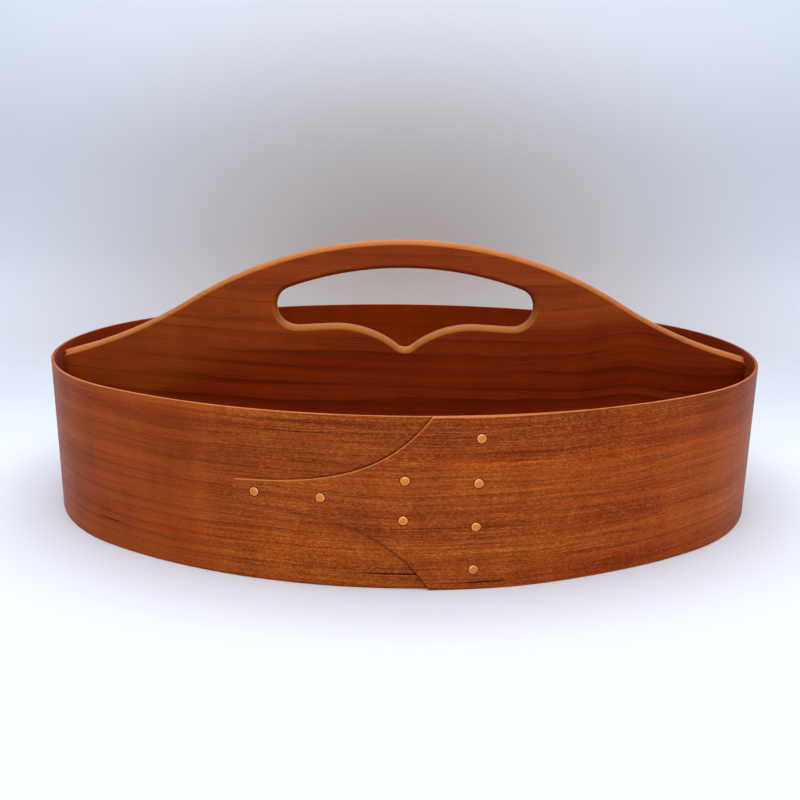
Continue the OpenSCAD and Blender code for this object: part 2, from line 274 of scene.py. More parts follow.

# %% [markdown]
# A strip is bent after it is planed, so its grain runs along its length. The mesh therefore keeps
# its own flat map, which gives every point its place on the strip before bending: how far along
# it is, and how high. The upper edges are marked too, for a paler edge that is partly wear and
# partly a painted highlight from the light above. A second mark is the normal's forward share, the
# cosine of its turn, and a third tells the inner face from the outer one.

# %% Map the strip flat
EDGE_FROM = 0.5
flat = np.stack([np.broadcast_to(along[:, None], ring_z.shape), ring_z], axis=-1).reshape(-1, 2)
strip_map = band.data.uv_layers.new(name="strip")
corner_point = np.zeros(len(band.data.loops), dtype=np.int32)
band.data.loops.foreach_get("vertex_index", corner_point)
strip_map.uv.foreach_set("vector", (flat[corner_point] * MM).astype(np.float32).ravel())
# the upper edges, and the whole upper rounding of the finger, are painted paler: partly wear, partly
# a painted highlight
upper_edge = (section[:, 2] > np.where(on_finger, 0, EDGE_FROM)[:, None]) & (section[:, 1] > 0)
paint_points(band, "edge", upper_edge)
paint_points(band, "front", np.broadcast_to(np.cos(turns)[:, None], ring_z.shape))
paint_points(band, "inside", np.broadcast_to(section[:, 0] < 1, ring_z.shape))
print(f"{int(upper_edge.sum())} of {len(points)} points on the upper edge")

# %% [markdown]
# ## The handle board
# The handle is sawn from a board, its top edge is a crown between two sweeps, and the hand hole has
# an ogee lower edge with a notch in the middle. All edges that a hand meets are rounded over. A
# Bevel modifier would need a clean outline mesh first. Seen from the middle of the hole, each
# direction meets the hole once and the outline once, so the board is a ring: for every ray a
# section goes over the top edge, down the front, round the hole's edge and up the back.

# %% Arcs of the handle
HANDLE_T = 2 * BOARD_HIGH[1]
HANDLE_H = BOARD_HIGH[2]
HANDLE_HALF = BOARD_HIGH[0]
BASE_T = BASE_HIGH[2]
CROWN_R, SWEEP_R, END_DROP, EDGE_R = 214, 225, 3.5, 2.2
HOLE_W, GRIP_T, HOLE_TOP_R, HOLE_END_R = 133.4, 14, 176, 10.6
LOBE_R, LOBE_X, LOBE_RISE, NOTCH_R = 51, 35.5, 1.1, 6


def turn_to(a, b):
    """Angle of the line from point a to point b."""
    return math.atan2(b[1] - a[1], b[0] - a[0])


def unit(turn):
    """Unit vector at an angle, or unit vectors at an array of angles."""
    return np.stack([np.cos(turn), np.sin(turn)], axis=-1)


def circles_meet(a, ra, b, rb):
    """Left crossing, seen from a to b, of the circles round a and b."""
    d = math.dist(a, b)
    forward = (ra**2 - rb**2 + d**2) / (2 * d)
    heading = turn_to(a, b)
    return a + forward * unit(heading) + math.sqrt(ra**2 - forward**2) * unit(heading + np.pi / 2)


crown_c = np.array([0, HANDLE_H - CROWN_R])
end_top = np.array([HANDLE_HALF, BAND_H - END_DROP])
sweep_c = circles_meet(crown_c, CROWN_R + SWEEP_R, end_top, SWEEP_R)
hole_top_c = np.array([0, HANDLE_H - GRIP_T - HOLE_TOP_R])
hole_end_x = HOLE_W / 2 - HOLE_END_R
hole_end_z = hole_top_c[1] + math.sqrt((HOLE_TOP_R - HOLE_END_R)**2 - hole_end_x**2)
hole_end_c = np.array([hole_end_x, hole_end_z])
lobe_c = np.array([LOBE_X, hole_end_z - HOLE_END_R + LOBE_RISE - LOBE_R])
notch_c = np.array([0, lobe_c[1] + math.sqrt((LOBE_R + NOTCH_R)**2 - LOBE_X**2)])
flat_turn = turn_to(lobe_c, hole_end_c) + math.acos((LOBE_R + HOLE_END_R)
                                                    / math.dist(hole_end_c, lobe_c))
hub = np.array([0, hole_end_z])
print(f"hand hole {HOLE_W} mm wide, its hub {hole_end_z:.1f} mm above the table")

# %% Reach of the outline and of the hole along a ray
FAR, TINY = 1e4, 1e-6


def chord(v, centre, r):
    """Middle and half length of the chord that rays from the hub along v cut from a circle: the
    middle is (c - hub) . v, and the half length squared is r^2 - |c - hub|^2 + middle^2."""
    middle = v @ (centre - hub)
    squared = r**2 - (centre - hub) @ (centre - hub) + middle**2
    return middle, np.where(squared >= 0, np.sqrt(np.maximum(squared, 0)), np.nan)


def near_side(v, centre, r):
    """Distance to the near side of a circle, and far off where the ray misses it."""
    middle, half = chord(v, centre, r)
    return np.nan_to_num(middle - half, nan=FAR)


def far_side(v, centre, r):
    """Distance to the far side of a circle."""
    middle, half = chord(v, centre, r)
    return middle + half


def board_reach(turn, set_in):
    """Distance from the hub to the board's outline, with its top edge set in: the crown or the
    sweep, cut off by the end and by the base."""
    v = unit(turn)
    joint = crown_c + (CROWN_R - set_in) * unit(turn_to(crown_c, sweep_c))
    over = np.where(turn >= turn_to(hub, joint),
                    far_side(v, crown_c, CROWN_R - set_in),
                    near_side(v, sweep_c, SWEEP_R + set_in))
    to_end = HANDLE_HALF / np.maximum(v[..., 0], TINY)
    to_base = np.where(v[..., 1] < 0, (BASE_T - hub[1]) / np.minimum(v[..., 1], -TINY), FAR)
    return np.minimum(over, np.minimum(to_end, to_base))


def hole_joints(grow):
    """Points where the arcs of the hand hole meet, with the hole grown: notch to lobe, lobe to
    flat, flat to end round, and end round to top."""
    return [lobe_c + (LOBE_R - grow) * unit(turn_to(lobe_c, notch_c)),
            lobe_c + (LOBE_R - grow) * unit(flat_turn),
            hole_end_c - (HOLE_END_R + grow) * unit(flat_turn),
            hole_top_c + (HOLE_TOP_R + grow) * unit(turn_to(hole_top_c, hole_end_c))]


def hole_reach(turn, grow):
    """Distance from the hub to the edge of the hand hole, arc by arc from the notch upwards."""
    v = unit(turn)
    joints = hole_joints(grow)
    past = [turn >= turn_to(hub, joint) for joint in joints]
    flat = ((joints[1] - hub) @ unit(flat_turn)) / (v @ unit(flat_turn))
    return np.select(
        [past[3], past[2], past[1], past[0]],
        [far_side(v, hole_top_c, HOLE_TOP_R + grow), far_side(v, hole_end_c, HOLE_END_R + grow),
         flat, near_side(v, lobe_c, LOBE_R - grow)],
        far_side(v, notch_c, NOTCH_R + grow))


straight_up = np.array([np.pi / 2])
grip = board_reach(straight_up, 0) - hole_reach(straight_up, 0)
print(f"grip {grip[0]:.1f} mm thick in the middle")

# %% Build the rounded board
RAY_STEP = math.radians(0.9)
ROUND_STEPS, BOARD_ROWS = 7, 12


def board_rays():
    """Angles of the rays over the right half, from straight down to straight up. They pass through
    every corner of the outline and joint of the hole, with even steps between."""
    corners = [np.array([HANDLE_HALF, BASE_T]), end_top] + hole_joints(0)
    stops = np.sort([-np.pi / 2, np.pi / 2] + [turn_to(hub, corner) for corner in corners])
    counts = np.maximum(2, np.ceil(np.diff(stops) / RAY_STEP)).astype(int)
    parts = [np.linspace(a, b, n, endpoint=False) for a, b, n in zip(stops, stops[1:], counts)]
    return np.concatenate(parts + [[np.pi / 2]])


right = board_rays()
arc = np.linspace(0, np.pi / 2, ROUND_STEPS + 1)
depth = np.concatenate([EDGE_R * (1 - np.cos(arc)) - HANDLE_T / 2,
                        HANDLE_T / 2 - EDGE_R * (1 - np.cos(arc[::-1]))])
set_in = EDGE_R * (1 - np.sin(np.concatenate([arc, arc[::-1]])))
rim = np.stack([board_reach(right, d) for d in set_in[::-1]], axis=1)
lip = np.stack([hole_reach(right, d) for d in set_in], axis=1)
blend = ((1 - np.cos(np.pi * np.linspace(0, 1, BOARD_ROWS))) / 2)[1:-1]
front = rim[:, -1:] + (lip[:, :1] - rim[:, -1:]) * blend
back = lip[:, -1:] + (rim[:, :1] - lip[:, -1:]) * blend
reach = np.concatenate([rim, front, lip, back], axis=1)
ring_depth = np.concatenate([depth[::-1], np.full(len(blend), -HANDLE_T / 2),
                             depth, np.full(len(blend), HANDLE_T / 2)])
half_x = reach * np.cos(right)[:, None]
half_z = hub[1] + reach * np.sin(right)[:, None]
all_x = np.concatenate([half_x, -half_x[-2:0:-1]])
all_z = np.concatenate([half_z, half_z[-2:0:-1]])
points = np.stack([all_x, np.broadcast_to(ring_depth, all_x.shape), all_z], axis=-1).reshape(-1, 3)
board = make_piece("handle_plate", points, grid_quads(*all_x.shape, closed=True))
settle(board, "handle_wood", "handle_board")

# %% [markdown]
# The rounded edges get painted light. One mark tells how far each part of them looks up, where wear
# and a painted highlight go, and down, where painted shade goes, and fades on the flat top of the
# rim. A second one picks out the lip of the hole that looks up, for a painted highlight. The slope
# of an edge comes from the step between neighbouring rays.

# %% Mark the rounded edges
LIP_SHARE, LIP_SIDE, TOP_FADE = 0.6, 0.35, 4


def upward(reach):
    """How far an edge seen from inside looks up, from -1 to 1: the run along x of a step to the
    next ray, over the length of that step."""
    x, z = (reach[:, None] * unit(right)).T
    return np.gradient(x) / np.hypot(np.gradient(x), np.gradient(z))


on_round = set_in < EDGE_R
rim_up = -upward(rim[:, 0])
# painted highlight on edges of the outline that look up, weaker on its flat top, and painted shade on
# those that look down
rim_light = np.where(set_in[::-1] > 0, rim_up[:, None], rim_up[:, None]**TOP_FADE) * on_round[::-1]
level = np.zeros((len(right), len(blend)))
# the hole's lip: painted highlight where it looks up, painted shade where it looks down
lip_light = np.outer(LIP_SHARE * (upward(lip[:, 0]) + LIP_SIDE), on_round)
edge_light_half = np.concatenate([rim_light, level, np.minimum(lip_light, 0), level], axis=1)
lip_highlight_half = np.concatenate([0 * rim_light, level, np.maximum(lip_light, 0), level], axis=1)
for title, half in (("edge", edge_light_half), ("lip", lip_highlight_half)):
    paint_points(board, title, np.concatenate([half, half[-2:0:-1]]))
    print(f"mark {title}: {half.min():.2f} to {half.max():.2f}")

# %% [markdown]
# ## Tacks
# Copper tacks are driven through both layers against an iron, which turns their points over inside.
# The hammer leaves a low, faceted head that sits just below the crushed fibres round it. A sphere
# cut flat would look machined, so each head is a profile turned round its axis, with a few hammer
# dents pressed into it at random places from a fixed seed, none deeper than half the head's height
# above the wood. The clinched point is a tapered tongue.

# %% Profile of a tack, turned round its axis
HEAD_R, HEAD_DOME, HEAD_SINK, SHANK_R = 1.95, 0.3, 0.4, 0.8
HEAD_START, HEAD_LOWER, RIM_DROP, RIM_BEVEL = 0.06, 0.02, 0.1, 0.05
TURN_STEPS, HEAD_STEPS, RINGS_BELOW = 40, 9, 5
WOBBLE, WOBBLE_WAVES = 0.02, 3
DENTS, DENT_SHARE, DENT_SPREAD = 5, 0.5, 0.75
DENT_SIZES, DENT_DEPTHS = (0.35, 0.7), (0.03, 0.09)
head_share = np.linspace(HEAD_START, 1, HEAD_STEPS)
chance = np.random.default_rng(11)


def hammer_marks(x, y):
    """Depth of the hammer dents at points of a head: the sum of a few Gaussian hollows."""
    spots = chance.uniform(-DENT_SPREAD, DENT_SPREAD, (DENTS, 2)) * HEAD_R
    sizes = chance.uniform(*DENT_SIZES, DENTS)
    depths = chance.uniform(*DENT_DEPTHS, DENTS)
    squared = (x[..., None] - spots[:, 0])**2 + (y[..., None] - spots[:, 1])**2
    return (depths * np.exp(-squared / (2 * sizes**2))).sum(axis=-1)


def tack_rings(length, point):
    """Radius and height of a tack's profile, from the middle of its head to its point. The head is
    a flattened dome, height = dome (1 - share^4), over a straight rim and a shank."""
    below = [HEAD_R, HEAD_R - RIM_BEVEL, SHANK_R, SHANK_R, point]
    depths = [-RIM_DROP, -HEAD_SINK, -HEAD_SINK, 2 * SHANK_R - length, -length]
    dome = HEAD_DOME * (1 - head_share**4) - HEAD_LOWER
    return np.concatenate([head_share * HEAD_R, below]), np.concatenate([dome, depths])


def tack_points(length, point):
    """Points of one tack with its axis along z: rings of the profile, wobbled a little round."""
    radius, height = tack_rings(length, point)
    spin = np.linspace(0, TAU, TURN_STEPS, endpoint=False)
    wobble = 1 + WOBBLE * np.sin(WOBBLE_WAVES * spin + chance.uniform(0, TAU))
    x = radius[:, None] * np.cos(spin) * wobble
    y = radius[:, None] * np.sin(spin) * wobble
    deepest = DENT_SHARE * np.maximum(height, 0)[:, None]
    z = height[:, None] - np.minimum(hammer_marks(x, y), deepest)
    return np.stack([x, y, z], axis=-1)


print(f"tack heads {2 * HEAD_R} mm across, {HEAD_STEPS + RINGS_BELOW} rings of {TURN_STEPS} points")

# %% Places of the tacks in the lap
COLUMN_X, COLUMN_STEP, PAIR_X, PAIR_STEP, TACK_LEAN = 30.3, 19.3, -0.2, 17.5, 0.03
FINGER_TACKS = [-35, -64]
column_up = COLUMN_STEP * np.array([-1.5, -0.5, 0.5, 1.5])
column = [(COLUMN_X + TACK_LEAN * up, BAND_H / 2 + up) for up in column_up]
pair_up = PAIR_STEP * np.array([-0.5, 0.5])
pair = [(PAIR_X + TACK_LEAN * up, FINGER_Z + up) for up in pair_up]
lap_spots = np.array(column + pair + [(s, FINGER_Z) for s in FINGER_TACKS])
print(f"{len(lap_spots)} tacks in the lap")

# %% Drive the tacks of the lap
CLINCH_L, CLINCH_T, CLINCH_CLEAR = 4, 0.7, 0.1
TONGUE_RINGS, TONGUE_STEPS, TONGUE_TAPER, TONGUE_CURVE = 6, 12, 0.85, 1.5
BLUNT, SHARP = SHANK_R * 0.9, SHANK_R / 4
LAP_DEPTH = BAND_T + LAP_RISE
HIGHLIGHT_FROM, HIGHLIGHT_FULL = 0.68, 0.88


def place_on_lap(local, spot):
    """Turns a tack so that its axis points out of the lap at a spot, given as the distance round
    the front and the height: out, right and up take the place of z, x and y."""
    turn = spot[0] / LAP_R
    out = np.array([np.sin(turn), -np.cos(turn), 0])
    aside = np.array([np.cos(turn), np.sin(turn), 0])
    origin = np.array([0, SIDE_CY, spot[1]]) + (LAP_R - finger_thin(spot[0])) * out
    return origin + local @ np.stack([aside, [0, 0, 1], out])


def tongue_points(inside):
    """Clinched point: a tapered tongue that lies along the inside, as rings of a flat ellipse."""
    share = np.linspace(0, 1, TONGUE_RINGS)
    spin = np.linspace(0, TAU, TONGUE_STEPS, endpoint=False)
    taper = 1 - TONGUE_TAPER * share**TONGUE_CURVE
    x = share[:, None] * CLINCH_L + 0 * spin
    y = taper[:, None] * SHANK_R * np.cos(spin)
    z = -inside - CLINCH_T / 2 + CLINCH_T / 2 * taper[:, None] * np.sin(spin)
    return np.stack([x, y, z], axis=-1)


def join_shells(shells):
    """One set of points, quads and end faces from shells that are grids of closed rings."""
    points, quads, caps, start = [], [], [], 0
    for shell in shells:
        rings, steps = shell.shape[:2]
        points.append(shell.reshape(-1, 3))
        quads.append(grid_quads(rings, steps) + start)
        caps += [np.arange(steps)[::-1] + start, np.arange(steps) + (rings - 1) * steps + start]
        start += rings * steps
    return np.concatenate(points), np.concatenate(quads), caps


shells = []
for spot in lap_spots:
    inside = LAP_DEPTH - finger_thin(spot[0])
    shells.append(place_on_lap(tack_points(inside + CLINCH_T, BLUNT), spot))
    shells.append(place_on_lap(tongue_points(inside + CLINCH_CLEAR), spot))
lap_tacks = make_piece("lap_tack_set", *join_shells(shells))
settle(lap_tacks, "tack_metal", "lap_tacks")
# the outer part of each head is marked for a painted highlight
head_highlight = np.clip((head_share - HIGHLIGHT_FROM) / (HIGHLIGHT_FULL - HIGHLIGHT_FROM), 0, 1)
tack_highlight = np.repeat(np.concatenate([head_highlight, np.ones(RINGS_BELOW)]), TURN_STEPS)
tongue_mark = np.zeros(TONGUE_RINGS * TONGUE_STEPS)
paint_points(lap_tacks, "rim", np.tile(np.concatenate([tack_highlight, tongue_mark]), len(lap_spots)))

# %% Drive the tacks at the ends of the handle
END_TACK_L, END_TACK_STEP = 14, 28
end_mid = (BASE_T + BAND_H - END_DROP) / 2
end_heights = [end_mid + i * END_TACK_STEP for i in (-0.5, 0.5)]


def place_on_end(local, side, height):
    """Turns a tack so that its axis points out of the left (-1) or right (1) end of the band."""
    axes = np.array([[0, side, 0], [0, 0, 1], [side, 0, 0]])
    return np.array([side * HALF_L, 0, height]) + local @ axes


shells = [place_on_end(tack_points(END_TACK_L, SHARP), side, height)
          for side in (-1, 1) for height in end_heights]
end_tacks = make_piece("end_tack_set", *join_shells(shells))
settle(end_tacks, "tack_metal", "end_tacks")
paint_points(end_tacks, "rim", np.tile(tack_highlight, len(shells)))

# %% [markdown]
# ## Building materials from nodes
# A material is a small graph. These helpers add a node and set or link its sockets, and name the
# sums that are wanted most. Colours are written as they look on a screen, from 0 to 255, and turned
# into the linear values that Blender's shaders expect.

# %% Helpers for nodes


def seen(red, green, blue):
    """Linear colour from screen values: ((c + 0.055) / 1.055)^2.4, or c / 12.92 when dark."""
    c = np.array([red, green, blue]) / 255
    linear = np.where(c <= 0.04045, c / 12.92, ((c + 0.055) / 1.055)**2.4)
    return (*linear.tolist(), 1.0)


def add(tree, kind, sockets=None, **settings):
    """New node. sockets maps an input's name or number to a value or to an output to link."""
    made = tree.nodes.new("ShaderNode" + kind)
    for key, value in settings.items():
        setattr(made, key, value)
    for key, value in (sockets or {}).items():
        if isinstance(value, bpy.types.NodeSocket):
            tree.links.new(value, made.inputs[key])
        else:
            made.inputs[key].default_value = value
    return made


def calc(tree, operation, *values):
    """Result of a Math node."""
    return add(tree, "Math", dict(enumerate(values)), operation=operation).outputs[0]


def times(tree, a, b):
    """Product of two values."""
    return calc(tree, "MULTIPLY", a, b)


def ramp(tree, share, at_zero, at_one):
    """Straight line that is at_zero where the share is 0 and at_one where it is 1."""
    return calc(tree, "MULTIPLY_ADD", share, at_one - at_zero, at_zero)


def vector(tree, operation, *values):
    """Vector result of a Vector Math node."""
    return add(tree, "VectorMath", dict(enumerate(values)), operation=operation).outputs[0]


def measure(tree, operation, *values):
    """Single number from a Vector Math node, such as a length or a distance."""
    return add(tree, "VectorMath", dict(enumerate(values)), operation=operation).outputs["Value"]


def scale(tree, value, by):
    """Vector or colour times one number."""
    return add(tree, "VectorMath", {0: value, "Scale": by}, operation="SCALE").outputs[0]


print("a middle grey in linear values:", round(seen(128, 128, 128)[0], 3))

# %% [markdown]
# The second set names what wood and metal need: places and their axes, marks that were painted on a
# mesh, a soft step, a mix of two colours, and noise with long cells. A node group keeps such a graph
# under one name with its own sockets.

# %% Helpers for patterns
NOISE_ROUGHNESS, SEED_SHIFT = 0.55, np.array([7.3, 3.1, 5.7])


def mm(*lengths):
    """Lengths in millimetres turned into metres."""
    return [length * MM for length in lengths]


def axes_of(tree, place):
    """The three coordinates of a place."""
    return add(tree, "SeparateXYZ", {0: place}).outputs


def place_of(tree, **axes):
    """Place from its coordinates."""
    return add(tree, "CombineXYZ", axes).outputs[0]


def mark_of(tree, title):
    """Mark that was painted on a mesh under a title."""
    return add(tree, "Attribute", attribute_name=title).outputs["Fac"]


def step(tree, value, low, high):
    """Soft step from 0 at low to 1 at high, or from 1 to 0 where high is below low."""
    down = low > high
    ends = {"Value": value, "From Min": min(low, high), "From Max": max(low, high),
            "To Min": 1.0 if down else 0.0, "To Max": 0.0 if down else 1.0}
    return add(tree, "MapRange", ends, interpolation_type="SMOOTHSTEP").outputs[0]


def swing(tree, value, reach):
    """Value about one half spread to -1 at half less reach and 1 at half plus reach."""
    ends = {"Value": value, "From Min": 0.5 - reach, "From Max": 0.5 + reach, "To Min": -1.0}
    return add(tree, "MapRange", ends).outputs[0]


def mix(tree, share, a, b, kind="MIX"):
    """Colour mixed from a to b by a share."""
    sockets = {0: share, 6: a, 7: b}
    return add(tree, "Mix", sockets, data_type="RGBA", blend_type=kind).outputs[2]


def noise(tree, place, cell, seed, detail=2.0):
    """Noise whose cells measure cell along, across and through the grain, in the place's unit."""
    cells = vector(tree, "DIVIDE", place, cell)
    moved = vector(tree, "ADD", cells, (seed * SEED_SHIFT).tolist())
    sockets = {"Vector": moved, "Scale": 1.0, "Detail": detail, "Roughness": NOISE_ROUGHNESS}
    return add(tree, "TexNoise", sockets).outputs[0]


def new_group(name, inputs, outputs):
    """Empty node group with named sockets, and its input and output ends."""
    group = bpy.data.node_groups.new(name, "ShaderNodeTree")
    for title, (kind, value) in inputs.items():
        socket = group.interface.new_socket(title, in_out="INPUT", socket_type="NodeSocket" + kind)
        socket.default_value = value
    for title, kind in outputs.items():
        group.interface.new_socket(title, in_out="OUTPUT", socket_type="NodeSocket" + kind)
    ends = group.nodes.new("NodeGroupInput"), group.nodes.new("NodeGroupOutput")
    return group, ends[0].outputs, ends[1].inputs


print(f"a tack's head is {mm(2 * HEAD_R)[0]:.4f} m across")

# %% [markdown]
# ## Cherry
# Planed cherry shows several things at once: broad bands of redder and paler wood, dark lines where
# the yearly rings are cut, finer hair lines and short dashes, flecks and threads where pores and
# rays come to the surface, and a soft shimmer across the grain. A picture of wood would fix their
# scale and repeat. The rings are a saw wave across the grain, because each year darkens slowly and
# ends sharply, and noise with cells stretched along the grain bends it and gives all else. One node
# group holds the whole timber, so the strip and both boards share it.

# %% Sizes of the figure, in millimetres, and limits of its steps
DRIFT, DRIFT_CELL = 5.0, (70, 22, 22)
BAND_CELL, BAND_STEP = (320, 9, 9), (0.3, 0.7)
UNEVEN, UNEVEN_CELL, YEAR_STEP = 1.8, (260, 13, 13), (0.65, 0.97)
PATCHY_CELL, PATCHY_STEP = (60, 7, 7), (0.2, 0.6)
HAIR_CELL, HAIR_STEP = (110, 0.9, 0.9), (0.47, 0.7)
DASH_CELL, DASH_STEP = (9, 0.8, 0.8), (0.66, 0.76)
FLECK_CELL, FLECK_PART, FLECK_REACH = (1.1, 0.45, 0.45), 0.78, 0.2
THREAD_CELL, THREAD_PART = (50, 0.65, 0.65), 0.5
SHIMMER_CELL, SHIMMER_REACH = (16, 50, 50), 0.25
WOOD_ROUGHNESS, FLECK_ROUGHNESS, GRAIN_RELIEF = 0.42, 0.36, 0.5
FINISH = {"Colour": "Color", "Roughness": "Float", "Height": "Float"}
cherry_inputs = {
    "Place": ("Vector", (0, 0, 0)),
    "Pale": ("Color", seen(168, 75, 20)), "Red": ("Color", seen(146, 58, 13)),
    "Line": ("Color", seen(80, 30, 8)), "Glint": ("Color", seen(210, 126, 64)),
    "Ring gap": ("Float", 4.6), "Lines": ("Float", 0.5), "Hairs": ("Float", 0.8),
    "Flecks": ("Float", 0.3), "Shimmer": ("Float", 0.1)}
print(f"flecks {FLECK_CELL[0]} mm long, threads {THREAD_CELL[0]} mm long")

# %% Node group for cherry
cherry, feed, out = new_group("cherry", cherry_inputs, FINISH)
place = scale(cherry, feed["Place"], 1 / MM)
drift = calc(cherry, "SUBTRACT", noise(cherry, place, DRIFT_CELL, 1), 0.5)
wavy = vector(cherry, "ADD", place, place_of(cherry, Y=times(cherry, drift, DRIFT)))
bands = step(cherry, noise(cherry, wavy, BAND_CELL, 2, 3.0), *BAND_STEP)
wood = mix(cherry, bands, feed["Red"], feed["Pale"])
years = calc(cherry, "DIVIDE", axes_of(cherry, wavy)["Y"], feed["Ring gap"])
uneven = times(cherry, noise(cherry, place, UNEVEN_CELL, 3, 1.0), UNEVEN)
rings = step(cherry, calc(cherry, "FRACT", calc(cherry, "ADD", years, uneven)), *YEAR_STEP)
patchy = step(cherry, noise(cherry, wavy, PATCHY_CELL, 4), *PATCHY_STEP)
hairs = step(cherry, noise(cherry, wavy, HAIR_CELL, 6, 1.0), *HAIR_STEP)
dashes = step(cherry, noise(cherry, wavy, DASH_CELL, 8, 1.0), *DASH_STEP)
dark = calc(cherry, "MAXIMUM", times(cherry, rings, patchy), times(cherry, hairs, feed["Hairs"]))
dark = calc(cherry, "MAXIMUM", dark, dashes)
wood = mix(cherry, times(cherry, dark, feed["Lines"]), wood, feed["Line"])
flecks = swing(cherry, noise(cherry, wavy, FLECK_CELL, 5), FLECK_REACH)
threads = swing(cherry, noise(cherry, wavy, THREAD_CELL, 10, 1.0), FLECK_REACH)
flecks = calc(cherry, "ADD", times(cherry, flecks, FLECK_PART), times(cherry, threads, THREAD_PART))
spread = times(cherry, flecks, feed["Flecks"])
wood = mix(cherry, calc(cherry, "MAXIMUM", spread, 0.0), wood, feed["Glint"])
wood = mix(cherry, times(cherry, calc(cherry, "MINIMUM", spread, 0.0), -1.0), wood, feed["Line"])
shimmer = swing(cherry, noise(cherry, place, SHIMMER_CELL, 7), SHIMMER_REACH)
tone = calc(cherry, "MULTIPLY_ADD", shimmer, feed["Shimmer"], 1.0)
cherry.links.new(scale(cherry, wood, tone), out["Colour"])
cherry.links.new(ramp(cherry, flecks, WOOD_ROUGHNESS, FLECK_ROUGHNESS), out["Roughness"])
relief = times(cherry, calc(cherry, "SUBTRACT", flecks, dark), GRAIN_RELIEF)
cherry.links.new(relief, out["Height"])
print(f"cherry group: {len(cherry.nodes)} nodes")

# %% [markdown]
# Edges that look up are painted paler, partly as wear where hands rub and the finish is thinnest,
# and partly as a painted highlight from the light above, while edges that look down get painted
# shade. The meshes already mark both, so a second small group turns the mark into a colour, broken
# up by the grain. A third draws a soft spindle at a place, for the gum streaks and the pin knot that
# give away that it is cherry.

# %% Node groups for rubbed edges and for streaks
GRAIN_BREAK, DOWN_SHADE = 0.3, 0.8
RAGGED, RAGGED_CELL, SPINDLE_STEP = 0.8, (4, 0.6, 0.6), (1.35, 0.55)
wear_and_light, feed, out = new_group(
    "worn_and_lit_edge",
    {"Colour": ("Color", seen(160, 80, 36)), "Edge": ("Float", 0.0),
     "Paler": ("Color", seen(210, 128, 66)), "Darker": ("Color", seen(52, 16, 5)),
     "Amount": ("Float", 0.8), "Grain": ("Float", 0.0)},
    {"Colour": "Color"})
# edges that look up are painted paler: partly wear, partly a painted highlight
worn_and_lit = times(wear_and_light, calc(wear_and_light, "MAXIMUM", feed["Edge"], 0.0), feed["Amount"])
worn_and_lit = times(wear_and_light, worn_and_lit, ramp(wear_and_light, feed["Grain"], 1.0, 1.0 + GRAIN_BREAK))
# edges that look down get painted shade
down_shade = times(wear_and_light, calc(wear_and_light, "MINIMUM", feed["Edge"], 0.0), -DOWN_SHADE)
shade = mix(wear_and_light, down_shade, feed["Colour"], feed["Darker"])
wear_and_light.links.new(mix(wear_and_light, worn_and_lit, shade, feed["Paler"]), out["Colour"])

spindle, feed, out = new_group(
    "spindle",
    {"Place": ("Vector", (0, 0, 0)), "Middle": ("Vector", (0, 0, 0)),
     "Half size": ("Vector", (0.01, 0.001, 1.0))},
    {"Mask": "Float"})
offset = vector(spindle, "SUBTRACT", feed["Place"], feed["Middle"])
distance = measure(spindle, "LENGTH", vector(spindle, "DIVIDE", offset, feed["Half size"]))
ragged = noise(spindle, feed["Place"], mm(*RAGGED_CELL), 9)
distance = calc(spindle, "MULTIPLY_ADD", ragged, RAGGED, distance)
spindle.links.new(step(spindle, distance, *SPINDLE_STEP), out["Mask"])
print("groups:", ", ".join(group.name for group in bpy.data.node_groups))

# %% [markdown]
# ## Finish of the strip
# The strip reads its own flat map, so that its lines run round the bend and the two layers of the
# lap show different wood. Its figure is strongest round the front and fades towards both ends, and
# the inner face is plainer and painted a darker red as shade inside the tray. Round every tack a dark
# ring is painted, partly crushed fibres that hold more oil and partly painted shade in the gap round
# the head: its place on the flat map is known, so the ring is a soft step of the distance. The oil
# leaves a faint warm sheen, the same all over, which the shader has a socket for.

# %% Start and finish a material
RELIEF_DEPTH = 0.05
WOOD_PLAIN = {"Specular IOR Level": 0.045, "Sheen Weight": 0.05, "Sheen Roughness": 0.35,
              "Sheen Tint": seen(255, 232, 190)}


def start_material(name):
    """New material with an empty graph, and its Principled BSDF wired to the output."""
    made = bpy.data.materials.new(name)
    made.use_nodes = True
    tree = made.node_tree
    tree.nodes.clear()
    shader = add(tree, "BsdfPrincipled")
    add(tree, "OutputMaterial", {"Surface": shader.outputs[0]})
    return made, tree, shader


def dress(tree, shader, colour, face, bump, plain):
    """Joins a colour and a group's roughness and height to the shader, and sets what is the same
    all over the surface."""
    tree.links.new(colour, shader.inputs["Base Color"])
    tree.links.new(face.outputs["Roughness"], shader.inputs["Roughness"])
    rough = add(tree, "Bump", {"Height": face.outputs["Height"], "Strength": bump,
                               "Distance": RELIEF_DEPTH * MM})
    tree.links.new(rough.outputs[0], shader.inputs["Normal"])
    for title, value in plain.items():
        shader.inputs[title].default_value = value


def wear(piece, material):
    """Gives a piece one material in place of any it has."""
    piece.data.materials.clear()
    piece.data.materials.append(material)


print("oiled wood:", ", ".join(WOOD_PLAIN))

# %% Strip material, grain and tack rings
RING_IN, RING_OUT = 2.05, 2.5
FIGURE_LEFT, FIGURE_RIGHT = (112, 55), (-190, -90)
LINES_OUT, LINES_IN, LINES_PLAIN = 0.46, 0.12, 0.75
FLECKS_PLAIN, FLECKS_FIGURED, FLECKS_IN = 0.12, 0.48, 0.2
HAIRS_PLAIN, HAIRS_FIGURED = 0.35, 0.8
INSIDE_SHADE, GUM_AND_SHADE = seen(240, 210, 200), seen(40, 13, 5)
end_turns = [math.pi / 2, 3 * math.pi / 2]
tack_spots = [(np.interp(turn, turns, along), up) for turn in end_turns for up in end_heights]
tack_spots += [(np.interp(TAU - s / LAP_R, turns, along), up) for s, up in lap_spots]

